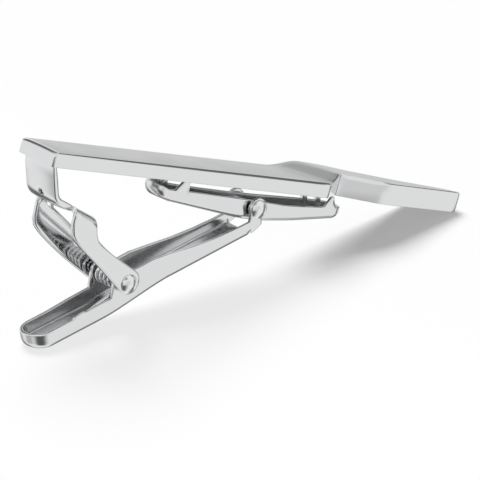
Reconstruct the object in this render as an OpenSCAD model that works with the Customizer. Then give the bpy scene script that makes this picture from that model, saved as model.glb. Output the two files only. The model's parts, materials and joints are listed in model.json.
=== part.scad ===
// Tie clip with a sprung lever jaw.
// The pieces are drawn along the front bar: X runs from its square end to its tip,
// Y across it with zero on its centre line, and Z up from its back face.
// The whole clip is then tipped to stand as it does on a table, on the lever's thumb
// end and the tip of the bar, with Z = 0 on the table.

/* [Front bar] */
// Length of the front bar
bar_l = 56.5; // [54.5:0.5:60]
// Width of the front bar
bar_w = 5.5; // [5.2:0.1:6.5]
// Thickness of the plain part of the bar
bar_t = 1.55; // [1.2:0.05:1.9]
// Radius that rounds the top of the square end
bar_end_r = 0.5; // [0.2:0.05:0.8]
// Length of the raised head along the near side
head_near_l = 17.9; // [17.2:0.1:18.9]
// Length of the raised head along the far side
head_far_l = 23; // [22:0.1:24]
// Height of the head's crest above the back face
crest_t = 2.3; // [2.1:0.05:2.6]
// Height of the tip's near corner above the back face
tip_near_t = 2.2; // [2.05:0.05:2.4]
// Height of the tip's far corner above the back face
tip_far_t = 1.2; // [1:0.05:1.5]
// Depth of the notch cut into the head's near side
notch_d = 1.65; // [1.2:0.05:2]

/* [Bracket] */
// Thickness of the bracket's sheet
bracket_sheet = 0.7; // [0.6:0.05:0.8]
// Width of the leg that hangs from the bar
leg_w = 4.6; // [4.4:0.1:4.8]
// Distance of the leg's middle from the bar's centre line, to the far side
leg_shift = 0.2; // [0:0.05:0.25]
// Distance from the bar's square end to the middle of the leg's top
leg_inset = 1; // [0.8:0.1:1.6]
// Lean of the leg away from the vertical, in degrees
leg_lean = 24; // [20:1:28]
// Inside radius of the bend below the leg
leg_bend_r = 1.25; // [1:0.05:1.5]
// Distance from the bar's square end to the edge where the leg's web stops
web_end = 4.8; // [4.6:0.1:5.2]
// Depth of that edge's top face below the bar
web_drop = 3.8; // [3.6:0.1:4.1]
// Slope of the web and of the ears' folded tops, in degrees
fold_slope = 16; // [13:1:18]
// Distance between the inner faces of the two ears
ears_gap = 4.84; // [4.7:0.02:5.1]
// Thickness of the ears' sheet
ear_t = 0.6; // [0.5:0.05:0.7]
// Outside radius of the ears' folded tops
fold_r = 0.95; // [0.8:0.05:1.1]
// Width of the folded strip kept along the near ear's top
fold_strip_w = 1.1; // [1:0.05:1.3]
// Radius of the ears' round ends
ear_end_r = 1.35; // [1.25:0.05:1.5]

/* [Lever] */
// Distance from the bar's square end to the pivot pin
pivot_x = 14.34; // [13.8:0.05:14.8]
// Depth of the pivot pin below the bar
pivot_drop = 11.07; // [10.7:0.05:11.5]
// Outside width of the lever's channel
lever_w = 4; // [3.9:0.05:4.3]
// Thickness of the lever's sheet
lever_sheet = 0.4; // [0.35:0.01:0.42]
// Distance from the pivot to the tip of the thumb end
thumb_l = 11.7; // [11.2:0.1:12.4]
// Depth of the thumb end's underside below the line of the two pins
thumb_floor = 3.3; // [3.1:0.05:3.5]
// Depth of the thumb end's rim below the line of the two pins
thumb_rim = 1.6; // [1.4:0.05:1.8]
// Radius under the thumb end's tip
thumb_tip_r = 1; // [0.8:0.05:1.2]
// Depth of the long arm's underside below the line of the two pins
arm_floor = 2.35; // [2.2:0.05:2.5]
// Height of the long arm's shoulder above the line of the two pins
shoulder_h = 0.48; // [0.3:0.02:0.6]
// Depth of the long arm's rim at its neck below the line of the two pins
neck_drop = 0.95; // [0.8:0.05:1.05]
// Outside radius of the lever's eyes round the jaw pin
eye_r = 1.15; // [1.05:0.05:1.25]

/* [Jaw pad] */
// Distance from the bar's square end to the jaw pin
jaw_pin_x = 30.2; // [29.6:0.05:30.8]
// Depth of the jaw pin below the bar
jaw_pin_drop = 2.1; // [2:0.02:2.2]
// Outside width of the jaw pad
jaw_w = 2.8; // [2.6:0.05:2.9]
// Thickness of the jaw pad's sheet
jaw_sheet = 0.4; // [0.35:0.01:0.45]
// Length of the pad on the bracket's side of its pin
jaw_back_l = 14; // [13.4:0.1:14.8]
// Length of the pad on the tip's side of its pin
jaw_front_l = 12.5; // [11.8:0.1:13]
// Depth of the pad's underside below its pin
jaw_belly = 1.4; // [1.3:0.02:1.48]
// Height of the pad's side walls above its pin
jaw_rim = 0.74; // [0.72:0.01:0.8]
// Gap left between the pad's teeth and the bar
teeth_gap = 0.1; // [0.06:0.01:0.16]
// Length of one tooth along the pad
tooth_l = 0.6; // [0.5:0.05:0.7]

/* [Pins] */
// Radius of the pivot pin's shank
pivot_pin_r = 0.5; // [0.45:0.01:0.55]
// Radius of the pivot pin's domed heads
pivot_head_r = 1; // [0.9:0.05:1.1]
// Radius of the jaw pin's shank
jaw_pin_r = 0.38; // [0.35:0.01:0.4]
// Radius of the jaw pin's domed heads
jaw_head_r = 0.98; // [0.9:0.02:1.02]
// Height of the domed heads
head_h = 0.42; // [0.35:0.01:0.5]
// Running clearance round a pin in the piece that turns on it
run_clear = 0.05; // [0.03:0.01:0.08]

/* [Spring] */
// Diameter of the spring's wire
wire_d = 0.36; // [0.34:0.01:0.38]
// Mean radius of the spring's coils
coil_r = 0.96; // [0.92:0.01:1]
// Distance from one coil to the next
coil_pitch = 0.79; // [0.78:0.005:0.8]
// Radius of the bends in the spring's upper leg
wire_bend_r = 0.45; // [0.4:0.01:0.5]
// Whole coils, besides the part turn between the two legs
whole_coils = 3; // [2:1:3]
// Radius of the two holes in the bracket that hold the spring's upper end
hook_hole_r = 0.42; // [0.4:0.01:0.46]
// Distance of the upper hole from the corner of the bracket's bend, up the leg
hook_up = 0.7; // [0.65:0.01:0.8]
// Distance behind the leg at which the wire turns towards the upper hole
hook_back = 1.2; // [1.15:0.01:1.3]
// Distance of the lower hole from the edge of the bracket's web
thread_in = 1.1; // [1:0.01:1.15]
// Distance that the upper leg runs below the web where it turns up
thread_drop = 0.95; // [0.9:0.01:1.05]

/* [Hidden] */
$fn = 64;
// Segments in a quarter of a rounded outline
quarter_steps = 8;
// Length by which a cutting shape runs past what it cuts
overrun = 1;
// Half of the bar's width
bar_half = bar_w / 2;
// The pivot pin and the jaw pin, seen from the side
pivot = [pivot_x, -pivot_drop];
jaw_pin_at = [jaw_pin_x, -jaw_pin_drop];
// Distance between the two pins, and the slope of the line through them
reach = norm(jaw_pin_at - pivot);
lever_slope = atan2(jaw_pin_at.y - pivot.y, jaw_pin_at.x - pivot.x);

// Outline helpers

// Turns a side-view point by an angle
function turned(p, a) = [p.x * cos(a) - p.y * sin(a), p.x * sin(a) + p.y * cos(a)];
// Unit vector at an angle
function heading(a) = [cos(a), sin(a)];
// Points of an arc from one angle to another, both ends included
function arc(c, r, from, to, steps = quarter_steps) =
    [for (i = [0:steps]) c + r * heading(from + (to - from) * i / steps)];
// The bend of radius r at corner k, on the way from a to b
function bend(a, k, b, r, steps = quarter_steps) =
    let (in = (k - a) / norm(k - a), out = (b - k) / norm(b - k),
         side = in.x * out.y - in.y * out.x > 0 ? 1 : -1,
         turn = acos(in * out),
         run = r * tan(turn / 2),
         centre = k - in * run + side * r * [-in.y, in.x],
         start = atan2(in.y, in.x) - side * 90)
    arc(centre, r, start, start + side * turn, steps);
// Direction of a path at one of its points
function path_way(path, i) =
    let (d = path[min(i + 1, len(path) - 1)] - path[max(i - 1, 0)]) d / norm(d);
// Outline of a sheet of thickness t whose middle follows a path
function strip(path, t) =
    let (left = [for (i = [0:len(path) - 1])
                    path[i] + t / 2 * [-path_way(path, i).y, path_way(path, i).x]],
         right = [for (i = [len(path) - 1:-1:0])
                    path[i] - t / 2 * [-path_way(path, i).y, path_way(path, i).x]])
    concat(left, right);
// Points at shares of the run and drop from one corner
function at_shares(corner, run, drop, shares) =
    [for (s = shares) corner + [s.x * run, -s.y * drop]];
// Angle of the tangent from a point to a circle, on the left (1) or right (-1) of the way there
function tangent_angle(p, c, r, side) =
    atan2(c.y - p.y, c.x - p.x) + side * asin(r / norm(c - p));

// Extrudes a side-view outline across Y, from y1 to y2
module across(y1, y2) {
    translate([0, y2, 0])
        rotate([90, 0, 0])
            linear_extrude(y2 - y1)
                children();
}

// Stance

// Centre of the round under the thumb tip, in the side view
thumb_round_at = pivot + turned([-thumb_l + thumb_tip_r, -thumb_floor + thumb_tip_r], lever_slope);
// The clip leans until this round and the tip's lower edge are level
stand_span = [bar_l - thumb_round_at.x, -thumb_round_at.y];
tilt = atan2(stand_span.y, stand_span.x) + asin(thumb_tip_r / norm(stand_span));
// Outermost points of the standing clip along X
thumb_lip_at = pivot + turned([-thumb_l, -thumb_rim], lever_slope);
stand_left = turned(thumb_lip_at, -tilt).x;
stand_right = turned([bar_l, tip_near_t], -tilt).x;

// Sets what is drawn along the bar on the table
module standing() {
    translate([-(stand_left + stand_right) / 2, 0, bar_l * sin(tilt)])
        rotate([0, tilt, 0])
            children();
}

// Front bar

// Places where the head's near edge turns, as shares of its length and of the notch's depth
head_near_shares = [[0, 0], [0.141, 1], [0.384, -0.06], [1, 0]];
// Share of the head's far edge beside each of these
head_far_shares = [0, 0.2, 0.474, 1];
// Steps between one of these places and the next
head_steps = [8, 6, 8];
// Steps across the head
cross_steps = 4;
// How hollow the ramp is: 1 is straight
ramp_hollow = 1.7;

function between(a, b, s) = a + (b - a) * s;
// Near and far ends of the cross line at a step of a stretch
function head_near(k, s) =
    let (p = between(head_near_shares[k], head_near_shares[k + 1], s))
    [bar_l - head_near_l + p.x * head_near_l, -bar_half + p.y * notch_d];
function head_far(k, s) =
    [bar_l - head_far_l + between(head_far_shares[k], head_far_shares[k + 1], s) * head_far_l, bar_half];
// Height of the top at the near and far end of a cross line
function rise(s) = between(bar_t, crest_t, pow(s, ramp_hollow));
function head_tops(k, s) =
    k == 0 ? [rise(s), rise(s)]
    : let (near_from = head_near_shares[1].x, far_from = head_far_shares[1],
           near_x = between(head_near_shares[k].x, head_near_shares[k + 1].x, s),
           far_x = between(head_far_shares[k], head_far_shares[k + 1], s))
    [between(crest_t, tip_near_t, (near_x - near_from) / (1 - near_from)),
     between(crest_t, tip_far_t, (far_x - far_from) / (1 - far_from))];
// One ring of the head: near foot, points along the top, far foot
function head_ring(k, s) =
    let (near = head_near(k, s), far = head_far(k, s), tops = head_tops(k, s))
    concat([[near.x, near.y, 0]],
           [for (j = [0:cross_steps])
               let (w = j / cross_steps, p = between(near, far, w))
               [p.x, p.y, between(tops[0], tops[1], w)]],
           [[far.x, far.y, 0]]);
head_rings = concat([head_ring(0, 0)],
                    [for (k = [0:2]) for (i = [1:head_steps[k]]) head_ring(k, i / head_steps[k])]);

// A closed skin over rings of equal length; the rings run anticlockwise seen from the start
module skin(rings) {
    n = len(rings[0]);
    last = len(rings) - 1;
    points = [for (ring = rings) for (p = ring) p];
    sides = [for (i = [0:last - 1]) for (j = [0:n - 1])
        let (a = i * n + j, b = i * n + (j + 1) % n)
        each [[a, b, a + n], [b, b + n, a + n]]];
    first_cap = [for (j = [1:n - 2]) [0, j + 1, j]];
    last_cap = [for (j = [1:n - 2]) [last * n, last * n + j, last * n + j + 1]];
    polyhedron(points = points, faces = concat(sides, first_cap, last_cap));
}

module front_bar() {
    side = concat([[0, 0]],
                  arc([bar_end_r, bar_t - bar_end_r], bar_end_r, 180, 90),
                  [[bar_l, bar_t], [bar_l, 0]]);
    plan = [[0, -bar_half], [bar_l - head_near_l, -bar_half],
            [bar_l - head_far_l, bar_half], [0, bar_half]];
    color("gainsboro") standing() {
        intersection() {
            across(-bar_half, bar_half) polygon(side);
            linear_extrude(bar_t) polygon(plan);
        }
        skin(head_rings);
    }
}

// Bracket

// Where the leg's middle line meets the bar, and its direction down from there
leg_top = [leg_inset, 0];
leg_way = heading(leg_lean - 90);
// The web's middle line at its end, and its direction
web_way = heading(-fold_slope);
web_edge = [web_end, -web_drop - bracket_sheet / 2];
// Corner where the two straight stretches would meet
leg_corner = let (gap = web_edge - leg_top,
                  cross = leg_way.x * web_way.y - leg_way.y * web_way.x)
    leg_top + leg_way * (gap.x * web_way.y - gap.y * web_way.x) / cross;
leg_path = concat([leg_top],
                  bend(leg_top, leg_corner, web_edge, leg_bend_r + bracket_sheet / 2),
                  [web_edge]);
// Corner from which the ears are laid out, and their run and drop to the pivot
ear_corner = [web_end, -web_drop];
ear_run = pivot_x - web_end;
ear_drop = pivot_drop - web_drop;
// Turning points of the ears' edges, as shares of that run and drop
near_left_shares = [[-0.04, -0.03], [-0.01, 0.1], [0, 0.29], [0.1, 0.485], [0.538, 0.82]];
far_left_shares = [[-0.08, -0.03], [-0.055, 0.1], [-0.045, 0.3], [0.06, 0.52], [0.5, 0.85]];
near_right_shares = [[0.3, 0.115], [0.338, 0.212], [0.384, 0.368], [0.454, 0.462], [0.706, 0.626]];
far_right_shares = [[0.06, 0.02], [0.1, 0.17], [0.16, 0.205], [0.49, 0.4], [0.706, 0.626]];
// The round end sits a little to the upper right of the pin
ear_end_at = pivot + 0.15 * ear_end_r * heading(60);
// Half of the outer distance across the ears
ears_half = ears_gap / 2 + ear_t;
// Hole that the spring's end comes out of, on the leg's middle line, and its outward direction
hook_at = leg_corner - leg_way * hook_up;
hook_out = [leg_way.y, -leg_way.x];
// Place behind the leg where the wire turns towards that hole
hook_turn = hook_at - hook_out * hook_back;
// Hole where the wire comes up through the web, and its direction down from the turn
thread_at = web_edge - web_way * thread_in;
thread_way = (thread_at - hook_turn) / norm(thread_at - hook_turn);

function ear_outline(left_shares, right_shares) =
    let (left = at_shares(ear_corner, ear_run, ear_drop, left_shares),
         right = at_shares(ear_corner, ear_run, ear_drop, right_shares),
         a = tangent_angle(right[len(right) - 1], ear_end_at, ear_end_r, 1),
         b = tangent_angle(left[len(left) - 1], ear_end_at, ear_end_r, -1))
    concat([left[0]], right,
           arc(ear_end_at, ear_end_r, a + 90, b - 90, 3 * quarter_steps),
           [for (i = [len(left) - 1:-1:1]) left[i]]);

// Cross section of the ears and their folded tops, looking along the fold
module ears_section() {
    depth = ear_drop + ear_run;
    inner_r = fold_r - ear_t;
    difference() {
        rounded_channel(ears_half, fold_r, depth);
        translate([0, -ear_t])
            rounded_channel(ears_gap / 2, inner_r, depth + overrun);
    }
}

// A downward channel of given half width and depth whose two top corners are round
module rounded_channel(half, r, depth) {
    polygon(concat([[-half, -depth]],
                   arc([-half + r, -r], r, 180, 90),
                   arc([half - r, -r], r, 90, 0),
                   [[half, -depth]]));
}

module ears() {
    // The section is pushed along the fold, from well before the ears to well past them
    push = ear_run + ear_drop;
    intersection() {
        translate([ear_corner.x, 0, ear_corner.y])
            rotate([0, fold_slope, 0])
                translate([-push, 0, 0])
                    rotate([90, 0, 90])
                        linear_extrude(2 * push)
                            ears_section();
        union() {
            across(-ears_half - overrun, 0) polygon(ear_outline(near_left_shares, near_right_shares));
            across(0, ears_half + overrun) polygon(ear_outline(far_left_shares, far_right_shares));
        }
    }
}

// A hole for the wire through the bracket's sheet
module wire_hole(at, way) {
    translate([at.x, 0, at.y])
        rotate([0, 90 - atan2(way.y, way.x), 0])
            cylinder(h = 2 * bracket_sheet, r = hook_hole_r, center = true);
}

module bracket() {
    slot_half = ears_half - fold_strip_w;
    color("silver") standing()
        difference() {
            union() {
                intersection() {
                    across(leg_shift - leg_w / 2, leg_shift + leg_w / 2)
                        polygon(strip(concat([leg_top - leg_way * overrun], leg_path), bracket_sheet));
                    translate([0, -bar_half, -pivot_drop])
                        cube([pivot_x, bar_w, pivot_drop]);
                }
                ears();
            }
            // Open slot between the folded tops, past the web's end
            translate([web_end, -slot_half, -pivot_drop])
                cube([pivot_x, 2 * slot_half, pivot_drop]);
            translate([pivot.x, 0, pivot.y])
                rotate([90, 0, 0])
                    cylinder(h = 2 * (ears_half + overrun), r = pivot_pin_r, center = true);
            wire_hole(hook_at, hook_out);
            wire_hole(thread_at, thread_way);
        }
}

// Pins

// A pin across the clip: a shank through to the outer faces and a domed head on each
module domed_pin(shank_r, head_r, half) {
    dome_r = (head_r * head_r + head_h * head_h) / (2 * head_h);
    dome_turn = asin(head_r / dome_r);
    dome = [for (i = [0:quarter_steps])
        let (a = dome_turn * (1 - i / quarter_steps))
        [dome_r * sin(a), half + head_h - dome_r + dome_r * cos(a)]];
    rotate([90, 0, 0]) {
        rotate_extrude()
            polygon(concat([[0, 0], [shank_r, 0], [shank_r, half]], dome));
        mirror([0, 0, 1])
            rotate_extrude()
                polygon(concat([[0, 0], [shank_r, 0], [shank_r, half]], dome));
    }
}

module pivot_pin() {
    color("whitesmoke") standing()
        translate([pivot.x, 0, pivot.y])
            domed_pin(pivot_pin_r, pivot_head_r, ears_half);
}

module jaw_pin() {
    color("whitesmoke") standing()
        translate([jaw_pin_at.x, 0, jaw_pin_at.y])
            domed_pin(jaw_pin_r, jaw_head_r, lever_w / 2);
}

// Lever

// Drawn with its pivot at zero and its jaw pin at [reach, 0], then turned into place.
// Ends of the ramp that joins the two depths of the channel's floor
belly_from = -1.5;
belly_to = 4.5;
// Places along the long arm where its rim turns: shoulder, dip and neck
shoulder_x = 4.1;
dip_share = 0.38;
dip_level_share = 0.62;
// Width of the eye's neck, and where the floor stops short of the jaw pin
neck_x = reach - eye_r - 0.1 * eye_r;
fork_l = 1.15 * eye_r;
// Lobe of the side walls round the pivot
lobe_r = 2.3 * pivot_pin_r;

// Underside of the floor, raised by a thickness, from the thumb tip to the fork
function floor_line(up) = concat(
    arc([-thumb_l + thumb_tip_r, -thumb_floor + thumb_tip_r], thumb_tip_r - up, 180, 270),
    [[belly_from, -thumb_floor + up], [belly_to, -arm_floor + up]]);

lever_rim = [
    [neck_x, -neck_drop],
    [between(shoulder_x, reach, dip_share), between(shoulder_h, -neck_drop, dip_level_share)],
    [shoulder_x, shoulder_h],
    [lobe_r, between(0, shoulder_h, 0.7)],
];

module lever_side() {
    difference() {
        union() {
            polygon(concat(floor_line(0),
                           [[reach - 0.2 * eye_r, -arm_floor], [reach + 0.62 * eye_r, -0.75 * eye_r]],
                           [[reach, 0]],
                           lever_rim,
                           [[-lobe_r, 0], [-1.3 * lobe_r, -thumb_rim], [-thumb_l, -thumb_rim]]));
            circle(r = lobe_r);
            translate([reach, 0]) circle(r = eye_r);
        }
        circle(r = pivot_pin_r + run_clear);
        translate([reach, 0]) circle(r = jaw_pin_r);
    }
}

// Plan of the channel with its round thumb end, drawn in by a thickness
module lever_plan(inward) {
    half = lever_w / 2;
    polygon(concat(arc([-thumb_l + half, 0], half - inward, 270, 90, 2 * quarter_steps),
                   [[reach + 2 * eye_r, half - inward], [reach + 2 * eye_r, -half + inward]]));
}

module lever() {
    depth = thumb_floor + lobe_r + overrun;
    color("silver") standing()
        translate([pivot.x, 0, pivot.y])
            rotate([0, -lever_slope, 0])
                difference() {
                    intersection() {
                        across(-lever_w / 2, lever_w / 2) lever_side();
                        translate([0, 0, -depth]) linear_extrude(2 * depth) lever_plan(0);
                    }
                    intersection() {
                        across(-lever_w / 2, lever_w / 2)
                            polygon(concat(floor_line(lever_sheet),
                                           [[reach + 2 * eye_r, -arm_floor + lever_sheet],
                                            [reach + 2 * eye_r, depth], [-thumb_l, depth]]));
                        translate([0, 0, -depth]) linear_extrude(2 * depth) lever_plan(lever_sheet);
                    }
                    translate([reach - fork_l, lever_sheet - lever_w / 2, -depth])
                        cube([2 * fork_l + 2 * eye_r, lever_w - 2 * lever_sheet, 2 * depth]);
                }
}

// Jaw pad

// Drawn with its pin at zero. Depth of the underside at its two noses, as shares of the
// way from the rim to the belly, and length of the noses' upward curves as shares of it
nose_depth_share = 0.45;
nose_l_share = 1.2;
// Flat of the belly to each side of the pin
belly_flat = 1.8;
// Top of the teeth above the pin
teeth_top = jaw_pin_drop - teeth_gap;
// Height of the noses' rims above the pin
nose_top = between(jaw_rim, teeth_top, 0.5);
// Teeth at each end, and how far in from the end the first one starts
teeth_each = 4;
teeth_from = 1.2;

// Outline of one half of the pad's underside, out to the nose, raised by a thickness
function jaw_half_floor(l, way, up) =
    let (depth = jaw_rim + jaw_belly,
         nose_z = between(jaw_rim, -jaw_belly, nose_depth_share),
         nose_l = nose_l_share * depth)
    [[way * belly_flat, -jaw_belly + up],
     [way * (l - nose_l), nose_z - 0.12 * depth + up],
     [way * (l - 0.3 * nose_l), nose_z + 0.2 * depth + up],
     [way * (l - up), nose_top - 0.2 * depth + up]];

// Rim of one half, from the nose to the middle, with its saw teeth
function jaw_half_rim(l, way) =
    concat([[way * l, nose_top], [way * (l - teeth_from), nose_top]],
           [for (i = [0:teeth_each - 1])
               each [[way * (l - teeth_from - tooth_l * (i + 0.5)), teeth_top],
                     [way * (l - teeth_from - tooth_l * (i + 1)), nose_top]]],
           [[way * (l - teeth_from - tooth_l * (teeth_each + 1)), between(jaw_rim, nose_top, 0.3)],
            [way * belly_flat, jaw_rim]]);

function reversed(list) = [for (i = [len(list) - 1:-1:0]) list[i]];

// Plan of the pad with its two round noses, drawn in by a thickness
module jaw_plan(inward) {
    half = jaw_w / 2;
    polygon(concat(arc([-jaw_back_l + half, 0], half - inward, 270, 90, 2 * quarter_steps),
                   arc([jaw_front_l - half, 0], half - inward, 90, -90, 2 * quarter_steps)));
}

module jaw_pad() {
    depth = jaw_rim + jaw_belly + overrun;
    color("silver") standing()
        translate([jaw_pin_at.x, 0, jaw_pin_at.y])
            difference() {
                intersection() {
                    across(-jaw_w / 2, jaw_w / 2)
                        polygon(concat(reversed(jaw_half_floor(jaw_back_l, -1, 0)),
                                       jaw_half_floor(jaw_front_l, 1, 0),
                                       jaw_half_rim(jaw_front_l, 1),
                                       reversed(jaw_half_rim(jaw_back_l, -1))));
                    translate([0, 0, -depth]) linear_extrude(2 * depth) jaw_plan(0);
                }
                intersection() {
                    across(-jaw_w / 2, jaw_w / 2)
                        polygon(concat(reversed(jaw_half_floor(jaw_back_l, -1, jaw_sheet)),
                                       jaw_half_floor(jaw_front_l, 1, jaw_sheet),
                                       [[jaw_front_l, depth], [-jaw_back_l, depth]]));
                    translate([0, 0, -depth]) linear_extrude(2 * depth) jaw_plan(jaw_sheet);
                }
                rotate([90, 0, 0])
                    cylinder(h = jaw_w + overrun, r = jaw_pin_r + run_clear, center = true);
            }
}

// Torsion spring

// Rings in one curl, sides of the wire, and rings in each bend of a leg
curl_rings = 8;
wire_sides = 6;
leg_bend_steps = 4;
// The upper leg runs from the top of the coil to under the web, up through it, and out of the leg
hook_end = hook_at + hook_out * (bracket_sheet / 2 + wire_d / 4);
thread_turn = thread_at + thread_way * thread_drop;
upper_angle = tangent_angle(thread_turn, pivot, coil_r, 1) + 90;
// The lower leg runs from the underside of the coil to the lever's floor
foot_gap = run_clear;
foot_at = pivot + turned([-0.6 * thumb_l, -thumb_floor + lever_sheet + foot_gap + wire_d / 2], lever_slope);
lower_angle = tangent_angle(foot_at, pivot, coil_r, -1) - 90;
// Angle wound from the upper leg, over the top and down, to the lower leg
wound = upper_angle - lower_angle + 360 * whole_coils;
coil_half = coil_pitch * wound / 360 / 2;
coil_steps = ceil(curl_rings * wound / 360);

function lifted(p, y) = [p.x, y, p.y];
coil_path = [for (i = [0:coil_steps])
    lifted(pivot + coil_r * heading(upper_angle - wound * i / coil_steps),
           between(coil_half, -coil_half, i / coil_steps))];
// The upper leg's end and its two bends, seen from the side
hook_path = concat([hook_end],
                   bend(hook_end, hook_turn, thread_turn, wire_bend_r, leg_bend_steps),
                   bend(hook_turn, thread_turn, pivot + coil_r * heading(upper_angle),
                        wire_bend_r, leg_bend_steps));
spring_path = concat([for (p = hook_path) lifted(p, 0)], coil_path, [lifted(foot_at, -coil_half)]);

// Rings of the wire round its path; the path never runs along Y
function wire_ring(path, i) =
    let (way = path_way(path, i),
         side = cross(way, [0, 1, 0]) / norm(cross(way, [0, 1, 0])),
         up = cross(side, way))
    [for (k = [0:wire_sides - 1])
        let (a = 360 * k / wire_sides)
        path[i] + wire_d / 2 * (cos(a) * side + sin(a) * up)];

// Least gap from a coil to the next, measured between points of the path half a turn apart or more
coil_gap = min([for (i = [0:coil_steps]) for (j = [i + curl_rings / 2:coil_steps])
    if (j <= coil_steps) norm(coil_path[i] - coil_path[j])]) - wire_d;
echo(least_gap_between_coils = coil_gap);

module torsion_spring() {
    color("slategray") standing()
        skin([for (i = [len(spring_path) - 1:-1:0]) wire_ring(spring_path, i)]);
}

front_bar();
bracket();
pivot_pin();
torsion_spring();
lever();
jaw_pin();
jaw_pad();
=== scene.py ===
"""Looks of the tie clip: sheet-metal pieces, rivets and the sprung coil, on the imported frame.

Every piece is modelled in millimetres in the frame of the bar, the lever or the jaw pad,
as in the CAD source, and then set into the row frame in metres.
"""
import json
import math

import bmesh
import bpy
from mathutils import Matrix, Vector, kdtree


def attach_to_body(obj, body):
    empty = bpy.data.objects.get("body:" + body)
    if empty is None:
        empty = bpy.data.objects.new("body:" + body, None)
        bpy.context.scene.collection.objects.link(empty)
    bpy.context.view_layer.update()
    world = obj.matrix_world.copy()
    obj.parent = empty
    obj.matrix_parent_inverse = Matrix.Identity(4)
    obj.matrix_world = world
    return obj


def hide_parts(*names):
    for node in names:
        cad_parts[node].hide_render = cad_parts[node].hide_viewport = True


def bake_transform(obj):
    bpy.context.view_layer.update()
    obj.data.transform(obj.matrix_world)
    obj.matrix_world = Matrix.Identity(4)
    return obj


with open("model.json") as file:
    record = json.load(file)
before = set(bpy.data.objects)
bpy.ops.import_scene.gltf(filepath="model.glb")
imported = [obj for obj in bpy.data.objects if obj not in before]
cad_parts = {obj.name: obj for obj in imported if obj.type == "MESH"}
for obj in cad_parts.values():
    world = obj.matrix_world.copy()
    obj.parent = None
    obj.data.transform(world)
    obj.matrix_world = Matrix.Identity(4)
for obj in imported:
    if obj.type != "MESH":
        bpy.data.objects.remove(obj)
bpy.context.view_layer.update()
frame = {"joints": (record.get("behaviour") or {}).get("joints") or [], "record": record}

MM = 0.001

# Driving sizes, in millimetres, as in the CAD source
BAR_L, BAR_W, BAR_T, BAR_END_R = 56.5, 5.5, 1.55, 0.5
HEAD_NEAR_L, HEAD_FAR_L, CREST_T, TIP_NEAR_T, TIP_FAR_T, NOTCH_D = 17.9, 23, 2.3, 2.2, 1.2, 1.65
SHEET, LEG_W, LEG_SHIFT, LEG_INSET, LEG_LEAN, LEG_BEND_R = 0.7, 4.6, 0.2, 1, 24, 1.25
WEB_END, WEB_DROP, FOLD_SLOPE = 4.8, 3.8, 16
EARS_GAP, EAR_T, FOLD_R, STRIP_W, EAR_END_R = 4.84, 0.6, 0.95, 1.1, 1.35
PIVOT_X, PIVOT_DROP = 14.34, 11.07
LEVER_W, LEVER_T, THUMB_L, THUMB_FLOOR, THUMB_RIM = 4, 0.4, 11.7, 3.3, 1.5
ARM_FLOOR, SHOULDER_H, NECK_DROP, EYE_R = 2.35, 0.48, 0.95, 1.15
JAW_X, JAW_DROP, JAW_W, JAW_T, JAW_BACK_L, JAW_FRONT_L = 30.2, 2.1, 2.8, 0.4, 14, 12.5
JAW_BELLY, TEETH_GAP = 1.4, 0.1
PIN_R, PIN_HEAD_R, JAW_PIN_R, JAW_HEAD_R, HEAD_H = 0.5, 1, 0.38, 0.98, 0.46
WIRE_D, COIL_R, COIL_PITCH, COILS, WIRE_BEND_R, FOOT_SHARE = 0.4, 0.95, 0.62, 4, 0.45, 0.74
HOLE_R, HOOK_UP, HOOK_BACK, THREAD_IN, THREAD_DROP = 0.42, 0.5, 1.2, 1.1, 0.95

# Meshing: points closer than this are one, rims are measured in steps of this, and edges
# sharper than this angle stay sharp
MERGE, RIM_STEP, SHARP_FROM = 0.002, 0.03, 50

# Frames of the bar, the lever and the jaw pad
mount = next(m for m in frame["record"]["mounts"] if m["name"] == "front_face")
tilt = math.atan2(mount["axis"][0], mount["axis"][2])
pivot = Vector((PIVOT_X, 0, -PIVOT_DROP))
jaw_pin_at = Vector((JAW_X, 0, -JAW_DROP))
span = jaw_pin_at - pivot
reach = span.length
slope = math.atan2(span.z, span.x)
turned = Matrix.Rotation(tilt, 4, "Y") @ Matrix.Scale(MM, 4)
pivot_m = Vector(next(j for j in frame["joints"] if j["name"] == "lever_pivot")["pos_m"])
BAR = Matrix.Translation(pivot_m - turned @ pivot) @ turned
LEVER = BAR @ Matrix.Translation(pivot) @ Matrix.Rotation(-slope, 4, "Y")
PIVOT = BAR @ Matrix.Translation(pivot)
JAW = BAR @ Matrix.Translation(jaw_pin_at)


# Plane geometry

def mix(a, b, s):
    return a + (b - a) * s


def way(angle):
    return Vector((math.cos(math.radians(angle)), math.sin(math.radians(angle))))


def arc(c, r, start, end, steps):
    return [c + r * way(mix(start, end, i / steps)) for i in range(steps + 1)]


def bend(a, k, b, r, steps):
    """Points of the round of radius r at corner k, on the way from a to b."""
    into, out = (k - a).normalized(), (b - k).normalized()
    side = 1 if into.x * out.y - into.y * out.x > 0 else -1
    turn = math.acos(max(-1, min(1, into.dot(out))))
    centre = k - into * r * math.tan(turn / 2) + side * r * Vector((-into.y, into.x))
    start = math.degrees(math.atan2(into.y, into.x)) - side * 90
    return arc(centre, r, start, start + side * math.degrees(turn), steps)


def tangent(p, c, r, side):
    """Angle, in degrees, of the tangent from p to a circle."""
    d = c - p
    return math.degrees(math.atan2(d.y, d.x) + side * math.asin(r / d.length))


def smooth_line(points, steps=6):
    """A rounder line through the same points."""
    line = []
    for i in range(len(points) - 1):
        p0, p1, p2 = points[max(i - 1, 0)], points[i], points[i + 1]
        p3 = points[min(i + 2, len(points) - 1)]
        for j in range(steps):
            t = j / steps
            line.append(0.5 * (2 * p1 + (p2 - p0) * t + (2 * p0 - 5 * p1 + 4 * p2 - p3) * t * t
                               + (3 * p1 - p0 - 3 * p2 + p3) * t ** 3))
    return line + [points[-1]]


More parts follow.
